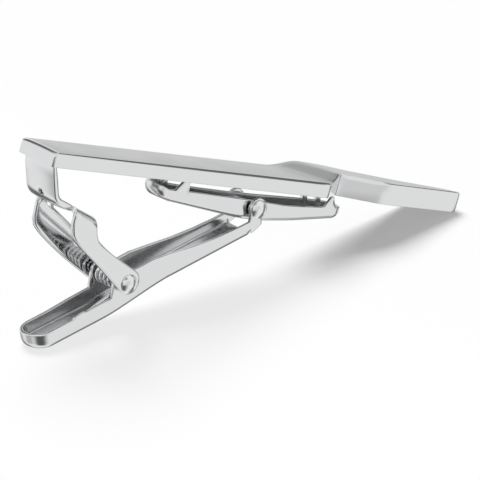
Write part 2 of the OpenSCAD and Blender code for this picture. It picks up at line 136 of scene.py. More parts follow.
def along(line, share):
    """Point at a share of a line's length."""
    lengths = [(b - a).length for a, b in zip(line, line[1:])]
    left = share * sum(lengths)
    for a, b, length in zip(line, line[1:], lengths):
        if left <= length:
            return mix(a, b, left / length)
        left -= length
    return line[-1]


def level(points, x):
    """Height of a side-view line at x, between its points."""
    if x <= points[0][0]:
        return points[0][1]
    for (x0, z0), (x1, z1) in zip(points, points[1:]):
        if x <= x1:
            return mix(z0, z1, (x - x0) / (x1 - x0))
    return points[-1][1]


# Mesh building

def make(name, verts, faces, place, materials, part=None):
    """A mesh object from points in a local frame; part gives each face's material."""
    mesh = bpy.data.meshes.new(name)
    mesh.from_pydata([place @ Vector(v) for v in verts], [], faces)
    for m in materials:
        mesh.materials.append(m)
    for i, face in enumerate(mesh.polygons):
        face.use_smooth = True
        face.material_index = part[i] if part else 0
    bm = bmesh.new()
    bm.from_mesh(mesh)
    bmesh.ops.remove_doubles(bm, verts=bm.verts, dist=MERGE * MM)
    bmesh.ops.recalc_face_normals(bm, faces=bm.faces)
    bm.to_mesh(mesh)
    bm.free()
    thing = bpy.data.objects.new(name, mesh)
    bpy.context.scene.collection.objects.link(thing)
    return thing


def grid_faces(rows, columns, base=0):
    return [(base + i * columns + j, base + i * columns + j + 1,
             base + (i + 1) * columns + j + 1, base + (i + 1) * columns + j)
            for i in range(rows - 1) for j in range(columns - 1)]


def thicken(thing, thickness, rim):
    """Makes a sheet solid. Its open edges are rounded: the sheet thins over the width rim."""
    bm = bmesh.new()
    bm.from_mesh(thing.data)
    marks = []
    for edge in bm.edges:
        if edge.is_boundary:
            a, b = edge.verts
            steps = max(1, math.ceil(edge.calc_length() / (RIM_STEP * MM)))
            marks += [mix(a.co, b.co, i / steps) for i in range(steps + 1)]
    near = kdtree.KDTree(len(marks))
    for i, mark in enumerate(marks):
        near.insert(mark, i)
    near.balance()
    group = thing.vertex_groups.new(name="thickness")
    for v in bm.verts:
        lost = max(0, rim - near.find(v.co)[2] / MM)
        group.add([v.index], 1 - (rim - math.sqrt(rim ** 2 - lost ** 2)) / (thickness / 2), "REPLACE")
    bm.free()
    m = thing.modifiers.new("thickness", "SOLIDIFY")
    m.thickness = thickness * MM
    m.offset = 0
    m.vertex_group = "thickness"
    m.use_even_offset = True
    m.use_quality_normals = True


def soften(thing, width, segments, angle):
    """Rounds the edges that are sharper than an angle."""
    m = thing.modifiers.new("soft_edges", "BEVEL")
    m.width = width * MM
    m.segments = segments
    m.limit_method = "ANGLE"
    m.angle_limit = math.radians(angle)
    m.use_clamp_overlap = True
    m.harden_normals = True


def join_shapes(thing, other, operation):
    """Adds another shape, or cuts it out."""
    m = thing.modifiers.new("shape", "BOOLEAN")
    m.operation = operation
    m.solver = "EXACT"
    m.object = other


def settle(thing):
    """Applies the modifiers."""
    bpy.context.view_layer.update()
    graph = bpy.context.evaluated_depsgraph_get()
    mesh = bpy.data.meshes.new_from_object(thing.evaluated_get(graph))
    mesh.set_sharp_from_angle(angle=math.radians(SHARP_FROM))
    thing.modifiers.clear()
    thing.data = mesh


def drop(*things):
    for thing in things:
        bpy.data.objects.remove(thing)


def attach(thing, body, node):
    """Puts a piece on its body, in place of its solid."""
    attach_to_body(thing, body)
    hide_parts(node)


# Materials

# Size of the broad patches, how much the painted shade darkens hollows and how much edges brighten, as wear
# and painted highlight, and the grain's depth
PATCHES, HOLLOW_SHADE, WORN_EDGE_SHEEN, GRAIN_DEPTH = 180, 0.94, 1.03, 0.01


def metal(name, tone, roughness, vary, metallic=1, grain=None, grain_scale=0, bump=0):
    """A metal whose roughness varies in patches, some with a fine grain that runs along X."""
    m = bpy.data.materials.new(name)
    m.use_nodes = True
    nodes, links = m.node_tree.nodes, m.node_tree.links
    shader = nodes["Principled BSDF"]
    shader.inputs["Metallic"].default_value = metallic
    where = nodes.new("ShaderNodeTexCoord")
    broad = nodes.new("ShaderNodeTexNoise")
    broad.inputs["Scale"].default_value = PATCHES
    broad.inputs["Detail"].default_value = 3
    links.new(where.outputs["Object"], broad.inputs["Vector"])
    rough = nodes.new("ShaderNodeMapRange")
    rough.inputs["From Min"].default_value = 0.3
    rough.inputs["From Max"].default_value = 0.7
    rough.inputs["To Min"].default_value = roughness - vary
    rough.inputs["To Max"].default_value = roughness + vary
    links.new(broad.outputs["Fac"], rough.inputs["Value"])
    links.new(rough.outputs["Result"], shader.inputs["Roughness"])
    # Edges are a little brighter, as wear and painted highlight, and hollows a little darker, as painted
    # shade
    shape = nodes.new("ShaderNodeNewGeometry")
    shade_and_sheen = nodes.new("ShaderNodeValToRGB")
    shade_and_sheen.color_ramp.elements[0].position = 0.44
    shade_and_sheen.color_ramp.elements[0].color = (*[c * HOLLOW_SHADE for c in tone], 1)
    shade_and_sheen.color_ramp.elements[1].position = 0.56
    shade_and_sheen.color_ramp.elements[1].color = (*[min(1, c * WORN_EDGE_SHEEN) for c in tone], 1)
    links.new(shape.outputs["Pointiness"], shade_and_sheen.inputs["Fac"])
    links.new(shade_and_sheen.outputs["Color"], shader.inputs["Base Color"])
    if bump:
        stretch = nodes.new("ShaderNodeMapping")
        stretch.inputs["Scale"].default_value = grain
        links.new(where.outputs["Object"], stretch.inputs["Vector"])
        fine = nodes.new("ShaderNodeTexNoise")
        fine.inputs["Scale"].default_value = grain_scale
        fine.inputs["Detail"].default_value = 4
        links.new(stretch.outputs["Vector"], fine.inputs["Vector"])
        relief = nodes.new("ShaderNodeBump")
        relief.inputs["Strength"].default_value = bump
        relief.inputs["Distance"].default_value = GRAIN_DEPTH * MM
        links.new(fine.outputs["Fac"], relief.inputs["Height"])
        links.new(relief.outputs["Normal"], shader.inputs["Normal"])
    return m


satin = metal("satin_metal", (0.5, 0.505, 0.51), 0.33, 0.04, grain=(1, 9, 9), grain_scale=2600, bump=0.5)
polished = metal("polished_metal", (0.71, 0.715, 0.72), 0.16, 0.02)
bright = metal("bracket_metal", (0.71, 0.715, 0.72), 0.08, 0.02)
# Darker, less metallic metal inside the channels' ends: painted shade
inside_shade = metal("inside_shade_metal", (0.6, 0.605, 0.61), 0.14, 0.03, metallic=0.7)
riveted = metal("rivet_metal", (0.76, 0.765, 0.77), 0.16, 0.03, grain=(1, 1, 1), grain_scale=1500, bump=0.05)
wired = metal("wire_metal", (0.8, 0.805, 0.81), 0.14, 0.04, grain=(1, 1, 1), grain_scale=1800, bump=0.02)


# Front bar: rings across it from the square end to the tip. Along the head each ring
# slants, from a place on the near edge to the one beside it on the far edge.

HALF = BAR_W / 2
NEAR_X, FAR_X = BAR_L - HEAD_NEAR_L, BAR_L - HEAD_FAR_L
# Turning points of the head's near edge in plan, and the far point beside each
NOTCH = [(NEAR_X, -HALF), (NEAR_X + 0.141 * HEAD_NEAR_L, NOTCH_D - HALF),
         (NEAR_X + 0.435 * HEAD_NEAR_L, -HALF - 0.05 * NOTCH_D)]
FAR_CREST = FAR_X + 0.2 * HEAD_FAR_L
BESIDE = [(BAR_END_R, BAR_END_R), (NEAR_X - 0.35, FAR_X - 0.3), (NEAR_X, FAR_X),
          (NOTCH[1][0], FAR_CREST), (NOTCH[2][0], FAR_X + 0.474 * HEAD_FAR_L), (BAR_L, BAR_L)]
# Radius and steps of the round at each turning point, where the plain edge ends, and steps of
# the plain edge, of the gap before each round and of the last stretch
NOTCH_ROUNDS = ((1.1, 7), (0.3, 5), (5, 8))
PLAIN_END = NEAR_X - 3
PLAIN_STEPS, GAP_STEPS, LAST_STEPS = 14, 6, 10
# Shape of the top's rise to the crest, and of its fall on the far side
RISE_POWER, RISE_SHARE, FALL_POWER, FALL_BLEND = 1.25, 0.8, 1.6, 2.5
# Width of the near top edge along the bar, and how flat it is (0 is round)
NEAR_EDGE = [(0, 0.18), (8, 0.28), (20, 0.4), (NEAR_X - 1, 0.44), (NEAR_X + 0.6, 0.2),
             (NOTCH[1][0], 0.2), (NOTCH[1][0] + 0.5, 0.4), (NOTCH[2][0] - 1.2, 0.4),
             (NOTCH[2][0] + 0.9, 0.15), (BAR_L, 0.2)]
NEAR_EDGE_FLAT = [(NOTCH[1][0], 0), (NOTCH[1][0] + 0.4, 1), (NOTCH[2][0] - 1, 1), (NOTCH[2][0] + 0.8, 0)]
# Crown of the top, round of the square end's sides, edges there, at the foot and on the far
# side, run of a flat edge, and how far a ring may lean from its own width
CROWN, END_SIDE_R, END_EDGE, FOOT_R, FAR_EDGE, CHAMFER_RUN, LEAN_LIMIT = 0.07, 0.24, 0.14, 0.11, 0.1, 0.4, 0.4
TIP_OUT, TIP_ROUND, TIP_INSET, TIP_TOP_R, TIP_FOOT_R = 0.3, 0.42, 0.12, 0.34, 0.45
FOOT_POINTS, CROSS_STEPS, ROUND_STEPS, END_RINGS, TIP_RINGS = 3, 8, 4, 8, 5
# Softening of the bar's other edges: width, segments and the angle it starts from
BAR_SOFT = (0.1, 3, 40)


def corner(cut, flat, j):
    """Run inward and drop of a point on a rounded edge, from the side to the top."""
    turn, share = way(90 * j / ROUND_STEPS), j / ROUND_STEPS
    return (mix(cut * (1 - turn.x), CHAMFER_RUN * cut * share, flat),
            mix(cut * (1 - turn.y), cut * (1 - share), flat))


def ring(near, far, near_top, far_top, cut, flat=0, crown=CROWN, foot=0.0, skew=1.0):
    """Near foot, near side, rounded near edge, crowned top, far side, far foot."""
    width = (far - near).length
    inward = (far - near) / width
    reach_in = corner(cut, flat, ROUND_STEPS)[0] * skew
    points = [(FOOT_R, foot), (0.3 * FOOT_R, foot + 0.3 * FOOT_R), (0, foot + FOOT_R)]
    tops = lambda u: mix(near_top, far_top, u / width) + crown * (1 - (2 * u / width - 1) ** 2)
    for j in range(ROUND_STEPS + 1):
        run, fall = corner(cut, flat, j)
        points.append((run * skew, tops(run * skew) - fall))
    for j in range(1, CROSS_STEPS + 1):
        u = mix(reach_in, width - FAR_EDGE, j / CROSS_STEPS)
        points.append((u, tops(u)))
    points += [(width - 0.3 * FAR_EDGE, far_top - 0.3 * FAR_EDGE), (width, far_top - FAR_EDGE),
               (width, foot + FOOT_R), (width - 0.3 * FOOT_R, foot + 0.3 * FOOT_R), (width - FOOT_R, foot)]
    return [Vector((*(near + inward * u), z)) for u, z in points]


def near_line():
    """Places along the near edge, from the rounded square end to the tip."""
    corners = [Vector((PLAIN_END, -HALF)), *[Vector(c) for c in NOTCH], Vector((BAR_L, -HALF))]
    points = [Vector((mix(BAR_END_R, PLAIN_END, i / PLAIN_STEPS), -HALF)) for i in range(PLAIN_STEPS + 1)]
    for i, (r, steps) in enumerate(NOTCH_ROUNDS):
        turn = bend(*corners[i:i + 3], r, steps)
        points += [mix(points[-1], turn[0], k / GAP_STEPS) for k in range(1, GAP_STEPS)] + turn
    last = Vector((BAR_L - TIP_ROUND, -HALF))
    return points + [mix(points[-1], last, k / LAST_STEPS) for k in range(1, LAST_STEPS + 1)]


def tops_at(x, beside):
    """Heights of the top's near and far ends."""
    crest = NOTCH[1][0]
    if x <= NEAR_X:
        return BAR_T, BAR_T
    if x <= crest:
        up = (x - NEAR_X) / (crest - NEAR_X)
        z = mix(BAR_T, CREST_T, 0.5 - 0.5 * math.cos(math.pi * mix(up, up ** RISE_POWER, RISE_SHARE)))
        return z, z
    down = (beside - FAR_CREST) / (BAR_L - FAR_CREST)
    return (mix(CREST_T, TIP_NEAR_T, (x - crest) / (BAR_L - crest)),
            mix(CREST_T, TIP_FAR_T, mix(down ** FALL_POWER, down, min(1, FALL_BLEND * down))))


def bar_rings():
    """Rings of the rounded square end, of the bar and its head, and of the rounded tip."""
    rings = []
    for i in range(END_RINGS):
        turn = way(90 * i / END_RINGS)
        c, z = BAR_END_R * (1 - turn.x), BAR_T - BAR_END_R * (1 - turn.y)
        y = HALF - END_SIDE_R + math.sqrt(max(0, END_SIDE_R ** 2 - max(0, END_SIDE_R - c) ** 2))
        rings.append(ring(Vector((c, -y)), Vector((c, y)), z, z, END_EDGE, 0, CROWN * turn.y))
    line = near_line()
    for i, near in enumerate(line):
        beside = level(BESIDE, near.x)
        far = Vector((beside, HALF))
        run = (line[min(i + 1, len(line) - 1)] - line[max(i - 1, 0)]).normalized()
        skew = 1 / max(LEAN_LIMIT, (far - near).normalized().dot(Vector((-run.y, run.x))))
        rings.append(ring(near, far, *tops_at(near.x, beside), level(NEAR_EDGE, near.x),
                          level(NEAR_EDGE_FLAT, near.x), skew=skew))
    for i in range(1, TIP_RINGS + 1):
        turn = way(90 - 90 * i / TIP_RINGS)
        x, lost = BAR_L + TIP_OUT - TIP_ROUND * (1 - turn.x), 1 - turn.y
        inset = TIP_INSET * lost
        near, far = tops_at(BAR_L, BAR_L)
        rings.append(ring(Vector((x, inset - HALF)), Vector((x, HALF - inset)), near - TIP_TOP_R * lost,
                          far - TIP_TOP_R * lost, END_EDGE, 0, CROWN * turn.y, TIP_FOOT_R * lost))
    return rings


def front_bar():
    rings = bar_rings()
    n = len(rings[0])
    verts = [v for r in rings for v in r]
    faces, part = [], []
    first = FOOT_POINTS + ROUND_STEPS
    for i in range(len(rings) - 1):
        for j in range(n):
            faces.append((i * n + j, i * n + (j + 1) % n, (i + 1) * n + (j + 1) % n, (i + 1) * n + j))
            part.append(0 if first <= j < first + CROSS_STEPS and i >= END_RINGS else 1)
    faces += [tuple(range(n)), tuple((len(rings) - 1) * n + j for j in range(n))]
    part += [1, 1]
    thing = make("front_bar_dressed", verts, faces, BAR, [satin, polished], part)
    soften(thing, *BAR_SOFT)
    attach(thing, "bar", "front_bar")


# Bracket: the leg and web are one strip; each ear is a plate under a folded top.

def flat(x, z):
    return Vector((x, z))


leg_top, leg_way = flat(LEG_INSET, 0), way(LEG_LEAN - 90)
web_way, web_edge = way(-FOLD_SLOPE), flat(WEB_END, -WEB_DROP - SHEET / 2)
gap = web_edge - leg_top
leg_corner = leg_top + leg_way * ((gap.x * web_way.y - gap.y * web_way.x)
                                  / (leg_way.x * web_way.y - leg_way.y * web_way.x))
hook_at = leg_corner - leg_way * HOOK_UP
hook_out = Vector((leg_way.y, -leg_way.x))
hook_turn = hook_at - hook_out * HOOK_BACK
thread_at = web_edge - web_way * THREAD_IN
thread_way = (thread_at - hook_turn).normalized()
pivot_2d = flat(PIVOT_X, -PIVOT_DROP)
ear_corner = flat(WEB_END, -WEB_DROP)
ears_half = EARS_GAP / 2 + EAR_T
# Side edges of the ears, as shares of the way from the web's end to the pivot: along X and down
NEAR_LEFT = [(-0.04, -0.03), (-0.01, 0.1), (0, 0.29), (0.1, 0.485), (0.538, 0.82)]
FAR_LEFT = [(-0.08, -0.03), (-0.055, 0.1), (-0.045, 0.3), (0.02, 0.52), (0.45, 0.85)]
NEAR_RIGHT = [(0.3, 0.115), (0.338, 0.212), (0.384, 0.368), (0.454, 0.462), (0.706, 0.626)]
FAR_RIGHT = [(0.06, 0.02), (0.1, 0.17), (0.16, 0.205), (0.49, 0.4), (0.706, 0.626)]
EAR_ROWS, ROUND_ROWS, FOLD_ROWS = 18, 12, 8
LEG_CROWN, LEG_EDGE, EAR_EDGE = 0.12, 0.24, 0.22
# Start of the leg inside the bar, rows near the web's end, how far the ear's round end sits
# off the pivot and which way, and how far the ears lie under the web's face
LEG_SUNK, WEB_ROWS, END_SHIFT, END_WAY, EARS_LOWER = 0.1, (0.25, 0.17, 0.1, 0.03, 0), 0.15, 60, 0.015
# Relief notch between the web and each ear
RELIEF_AT, RELIEF_R, RELIEF_OUT = flat(4.72, -4), 0.26, 2.5


def strip_mesh():
    """The leg and the web on their middle surface, thickened, with the two wire holes."""
    path = [leg_top - leg_way * LEG_SUNK] + bend(leg_top, leg_corner, web_edge, LEG_BEND_R + SHEET / 2, 12)
    end = [mix(web_edge, path[-1], row / (web_edge - path[-1]).length) for row in WEB_ROWS]
    path = [mix(path[0], path[1], i / 4) for i in range(4)] + path[1:] + end
    across = [LEG_SHIFT + LEG_W * (share - 0.5) for share in spread(LEG_W, LEG_EDGE)]
    verts = []
    for i, p in enumerate(path):
        run = (path[min(i + 1, len(path) - 1)] - path[max(i - 1, 0)]).normalized()
        for y in across:
            swell = LEG_CROWN * (1 - (2 * (y - LEG_SHIFT) / LEG_W) ** 2)
            verts.append((p.x + run.y * swell, y, p.y - run.x * swell))
    thing = make("bracket_dressed", verts, grid_faces(len(path), len(across)), BAR, [bright])
    thicken(thing, SHEET, LEG_EDGE)
    settle(thing)
    for at, out in ((hook_at, hook_out), (thread_at, thread_way)):
        cutter = rod(at - out * SHEET, at + out * SHEET, HOLE_R)
        join_shapes(thing, cutter, "DIFFERENCE")
        settle(thing)
        drop(cutter)
    return thing


def spread(length, rim, between=5):
    """Shares of a length, closer together within the rounded rim at both ends."""
    e = min(rim, 0.35 * length) / length
    first = [0, 0.12 * e, 0.4 * e, 0.7 * e]
    middle = [mix(e, 1 - e, i / (between - 1)) for i in range(between)]
    return first + middle + [1 - share for share in reversed(first)]


def rod(a, b, r, sides=28):
    """A plain cutting cylinder between two side-view points."""
    d = (b - a).normalized()
    u, v = Vector((0, 1, 0)), Vector((-d.y, 0, d.x))
    verts = [Vector((p.x, 0, p.y)) + r * (math.cos(t) * u + math.sin(t) * v)
             for p in (a, b) for t in (2 * math.pi * k / sides for k in range(sides))]
    faces = [(k, (k + 1) % sides, sides + (k + 1) % sides, sides + k) for k in range(sides)]
    faces += [tuple(range(sides)), tuple(range(sides, 2 * sides))]
    return make("cutter", verts, faces, BAR, [bright])


def ear_mesh(name, side, left_shares, right_shares):
    """One ear, near (-1) or far (1), on its middle surface, then thickened."""
    run, fall = PIVOT_X - WEB_END, PIVOT_DROP - WEB_DROP
    at = lambda shares: [ear_corner + flat(a * run, -b * fall) for a, b in shares]
    end_at = pivot_2d + END_SHIFT * EAR_END_R * way(END_WAY)
    left, right = at(left_shares), at(right_shares)
    from_right = tangent(right[-1], end_at, EAR_END_R, 1) + 90
    from_left = tangent(left[-1], end_at, EAR_END_R, -1) - 90
    left = smooth_line(left + [end_at + EAR_END_R * way(from_left)])
    right = smooth_line(right + [end_at + EAR_END_R * way(from_right)])
    up = way(90 - FOLD_SLOPE)
    depth = lambda p: -(p - ear_corner).dot(up)
    middle_r = FOLD_R - EAR_T / 2

    def crossing(line, d):
        for a, b in zip(line, line[1:]):
            if depth(a) <= d <= depth(b):
                return mix(a, b, (d - depth(a)) / max(1e-6, depth(b) - depth(a)))
        return line[0]

    def below(line, d):
        return [crossing(line, d)] + [p for p in line if depth(p) > d]

    def out(p):
        """Distance of the sheet's middle from the centre line, at a side-view point."""
        d = depth(p) - EAR_T / 2
        if d >= middle_r:
            return ears_half - EAR_T / 2
        a = math.acos(max(-1, min(1, 1 - d / middle_r)))
        return ears_half - FOLD_R + middle_r * math.sin(a)

    def row(a, b, y):
        shares = spread(max((b - a).length, 0.01), EAR_EDGE)
        return [(p.x, y(p), p.y) for p in (mix(a, b, share) for share in shares)]

    first = EAR_T / 2
    inner = lambda p: side * (ears_half - STRIP_W)
    rows = [row(crossing(left, first), crossing(right, first), inner)]
    for k in range(FOLD_ROWS + 1):
        d = first + middle_r * (1 - math.cos(math.radians(90 * k / FOLD_ROWS)))
        rows.append(row(crossing(left, d), crossing(right, d), lambda p: side * out(p)))
    left, right = below(left, first + middle_r), below(right, first + middle_r)
    ends = [(along(left, k / EAR_ROWS), along(right, k / EAR_ROWS)) for k in range(1, EAR_ROWS + 1)]
    meet = (from_left + from_right) / 2
    ends += [(end_at + EAR_END_R * way(mix(from_left, meet, k / ROUND_ROWS)),
              end_at + EAR_END_R * way(mix(from_right, meet, k / ROUND_ROWS)))
             for k in range(1, ROUND_ROWS + 1)]
    rows += [row(a, b, lambda p: side * out(p)) for a, b in ends]
    verts = [v for r in rows for v in r]
    lowered = BAR @ Matrix.Translation((0, 0, -EARS_LOWER))
    thing = make(name, verts, grid_faces(len(rows), len(rows[0])), lowered, [bright])
    thicken(thing, EAR_T, EAR_EDGE)
    settle(thing)
    return thing


def bracket():
    thing = strip_mesh()
    for name, side, left, right in (("near_ear", -1, NEAR_LEFT, NEAR_RIGHT),
                                    ("far_ear", 1, FAR_LEFT, FAR_RIGHT)):
        ear = ear_mesh(name, side, left, right)
        join_shapes(thing, ear, "UNION")
        settle(thing)
        up = way(90 - FOLD_SLOPE)
        notch = rod(RELIEF_AT - up, RELIEF_AT + up, RELIEF_R)
        notch.location.y = side * RELIEF_OUT * MM
        join_shapes(thing, notch, "DIFFERENCE")
        settle(thing)
        drop(ear, notch)
    attach(thing, "bar", "bracket")


# Channels: the lever and the jaw pad are pressed sheet with side walls, round bends and
# round ends. Each column goes down a wall, round the bend and across the floor.

# Steps, width of the edge's round, and least height of a wall with and without a bend below
BEND_STEPS, FLOOR_STEPS, SHEET_EDGE, LEAST_WALL, THIN = 6, 3, 0.13, 0.1, 0.001
# How much a face looks inward, or up, to count as the inside of a wall or of the floor
INWARD, UPWARD = 0.2, 0.3


def channel_column(at, centre, bend_r, rim, floor, foot=None):
    """Points of one column; foot is the wall's lower end where there is no floor."""
    inward = (centre - at).normalized()
    bend_r = min(bend_r, rim - floor(at.x) - LEAST_WALL) if foot is None else bend_r
    wall_end = foot if foot is not None else floor(at.x) + bend_r
    points = [(at.x, at.y, mix(rim, wall_end, share))
              for share in spread(max(rim - wall_end, THIN), SHEET_EDGE, 3)]
    if foot is not None:
        return points
    for k in range(1, BEND_STEPS + 1):
        turn = way(90 * k / BEND_STEPS)
        p = at + inward * bend_r * (1 - turn.x)
        points.append((p.x, p.y, floor(p.x) + bend_r * (1 - turn.y)))
    inner = at + inward * bend_r
    for k in range(1, FLOOR_STEPS + 1):
        p = mix(inner, centre, k / FLOOR_STEPS)
        points.append((p.x, p.y, floor(p.x)))
    return points


def channel_mesh(name, columns, place, thickness):
    """Sheet through the columns, each joined to the next one."""
    verts, starts = [], []
    for points in columns:
        starts.append(len(verts))
        verts += points
    faces = []
    for a, b, first, second in zip(starts, starts[1:], columns, columns[1:]):
        for i in range(min(len(first), len(second)) - 1):
            faces.append((a + i, a + i + 1, b + i + 1, b + i))
    thing = make(name, verts, faces, place, [polished])
    thicken(thing, thickness, SHEET_EDGE)
    return thing


def paint_inside_shade(thing, place, nose, before, below):
    """Darker metal as painted shade inside a channel's end, short of one place and, where it faces up, below
    one height.
    """
    settle(thing)
    thing.data.materials.append(inside_shade)
    back = place.inverted()
    for face in thing.data.polygons:
        at = back @ face.center
        out = (back.to_3x3() @ face.normal).normalized()
        inward = out.x * min(at.x - nose.x, 0) + out.y * at.y < -INWARD
        if at.x < before and (inward or (out.z > UPWARD and at.z < below)):
            face.material_index = 1


LEVER_FLOOR = [(-THUMB_L, -THUMB_FLOOR), (-2.6, -THUMB_FLOOR), (-1, -3.2), (3.8, -2.64),
               (5.4, -2.5), (reach, -ARM_FLOOR - 0.08)]
LOBE_R = 2.3 * PIN_R
FORK_X = reach - 1.15 * EYE_R
TAB_FROM, TAB_TO, TAB_H = -6.5, -5.2, 0.16
LEVER_BEND, THUMB_BEND, FORK_BEND = 0.42, 0.8, 0.3
# Columns along the arm and the thumb, and along the eye, and the lower edge of the fork and eye
LEVER_STOPS = [LEVER_W / 2 - THUMB_L, -8.9, -8.2, -7.4, TAB_FROM - 0.3, TAB_FROM - 0.15, TAB_FROM, -5.9,
               TAB_TO, TAB_TO + 0.15, TAB_TO + 0.3, -4.4, -3.8, -3.2, -2.4, -1.6, -1.35, -LOBE_R, -1,
               -0.8, -0.5, -0.25, 0, 0.25, 0.5, 0.8, 1, LOBE_R, 1.6, 2.2, 2.8, 3.6, 4.1, 4.6, 5.5, 6.4,
               7.4, 8.4, 9.5, 10.5, 11.5, 12.5, 13.5, 14.3, 15, 15.7, 16.3, FORK_X - 0.3, FORK_X]
EYE_STOPS = sorted([FORK_X + 0.02, reach + 0.08, reach + 0.2, reach + 0.26]
                   + [reach - EYE_R * math.cos(math.pi * k / 20) for k in range(1, 21)])
EYE_FOOT = [(FORK_X, -2.3), (reach - 0.9, -2.16), (reach - 0.4, -2.04), (reach + 0.08, -1.86),
            (reach + 0.2, -1.72), (reach + 0.26, -1.12), (reach + 0.6, -0.98), (reach + 0.9, -0.72),
            (reach + EYE_R, 0)]


def lever_rim(x, near):
    """Height of the lever's rim."""
    line = [(-THUMB_L, -1.42), (-10, -THUMB_RIM), (-7, -THUMB_RIM), (-4.4, -1.36), (-1.6, -1.3),
            (-LOBE_R, 0.1), (-0.8, 0.8), (0, LOBE_R), (0.8, 0.85), (LOBE_R, 0.5), (2.4, 0.42),
            (4.1, SHOULDER_H), (6.4, 0.2), (9.5, -0.4), (12.5, -0.78), (15, -0.92),
            (reach - 1.1 * EYE_R, -NECK_DROP)]
    z = level(line, x)
    if near:
        z += level([(TAB_FROM - 0.3, 0), (TAB_FROM, TAB_H), (TAB_TO, TAB_H), (TAB_TO + 0.3, 0)], x)
    if not near:
        z -= level([(0.8, 0), (2.2, 0.16), (6.4, 0.22), (9.5, 0.1), (13, 0)], x)
    return z


def eye_top(x):
    return math.sqrt(max(0, EYE_R ** 2 - (x - reach) ** 2))


def lever():
    """Columns from the near eye along the near wall, round the thumb and back to the far eye."""
    half = (LEVER_W - LEVER_T) / 2
    floor = lambda x: level(LEVER_FLOOR, x) + LEVER_T / 2

    def arm_column(x, side):
        return channel_column(Vector((x, side * half)), Vector((x, 0)), LEVER_BEND,
                              lever_rim(x, side < 0), floor)

    def fork_column(x, side):
        top = eye_top(x) if x > reach - 0.97 * EYE_R else -0.5
        return channel_column(Vector((x, side * half)), Vector((x, 0)), FORK_BEND,
                              -NECK_DROP if x < FORK_X + 0.1 else top, floor,
                              min(level(EYE_FOOT, x), top - THIN))

    columns = [fork_column(x, -1) for x in reversed(EYE_STOPS)]
    columns += [arm_column(x, -1) for x in reversed(LEVER_STOPS)]
    centre = Vector((-THUMB_L + LEVER_W / 2, 0))
    for k in range(1, NOSE_TURNS):
        a = 270 - 180 * k / NOSE_TURNS
        share = math.sin(math.pi * k / NOSE_TURNS)
        at = centre + half * way(a)
        columns.append(channel_column(at, centre, mix(LEVER_BEND, THUMB_BEND, share),
                                      lever_rim(at.x, False), floor))
    columns += [arm_column(x, 1) for x in LEVER_STOPS]
    columns += [fork_column(x, 1) for x in EYE_STOPS]
    thing = channel_mesh("lever_dressed", columns, LEVER, LEVER_T)
    # Painted shade: darker metal inside the thumb end
    paint_inside_shade(thing, LEVER, centre, -LOBE_R, -THUMB_RIM - LEVER_T)
    attach(thing, "lever", "lever")


# Teeth of the jaw pad's walls: base, both ends of the top, base
TEETH_TOP = JAW_DROP - TEETH_GAP
NEAR_TEETH = [(-11.35, -10.4, -9.62, -9.58), (9.6, 10.3, 10.62, 11.1)]
FAR_TEETH = [(-12.6, -12.3, -12.1, -11.95), (-11.9, -11.6, -11.4, -11.25),
             (-11.2, -10.9, -10.7, -10.5), (8.5, 8.54, 9.1, 9.22), (10.4, 10.55, 11, 11.1)]
JAW_FLOOR = [(-JAW_BACK_L, 0.1), (-JAW_BACK_L + 1, -0.16), (-JAW_BACK_L + 2.4, -0.45), (-5.5, -1.02),
             (-2.2, -1.33), (-1, -JAW_BELLY), (1, -JAW_BELLY), (2.2, -1.36), (5.5, -1.08),
             (JAW_FRONT_L - 2.6, -0.52), (JAW_FRONT_L - 1.2, -0.34), (JAW_FRONT_L, -0.08)]
NEAR_RIM = [(-JAW_BACK_L, 1.35), (-JAW_BACK_L + 1, 1.1), (-12.2, 0.86), (-11.3, 0.84), (-9.5, 0.86),
            (-6, 0.8), (-1.2, 0.72), (1.7, 0.63), (4.5, 0.52), (7, 0.66), (9.4, 0.83), (11.1, 0.9),
            (JAW_FRONT_L, 0.98)]
FAR_RIM = [(-JAW_BACK_L, 1.35), (-JAW_BACK_L + 1, 1.25), (-12, 1.1), (-9.5, 0.95), (-6, 0.86),
           (-1.2, 0.8), (2, 0.84), (6, 0.92), (8.4, 0.96), (11.2, 0.96), (JAW_FRONT_L, 0.98)]
NOSE_TURNS, BACK_BEND, FRONT_BEND, JAW_BEND = 28, 0.85, 0.5, 0.42


def jaw_rim(x, line, teeth):
    """Height of the pad's rim, up to the teeth's tops where there are teeth."""
    z = level(line, x)
    for start, first, last, end in teeth:
        if start <= x <= end:
            return level([(start, z), (first, TEETH_TOP), (last, TEETH_TOP), (end, z)], x)
    return z


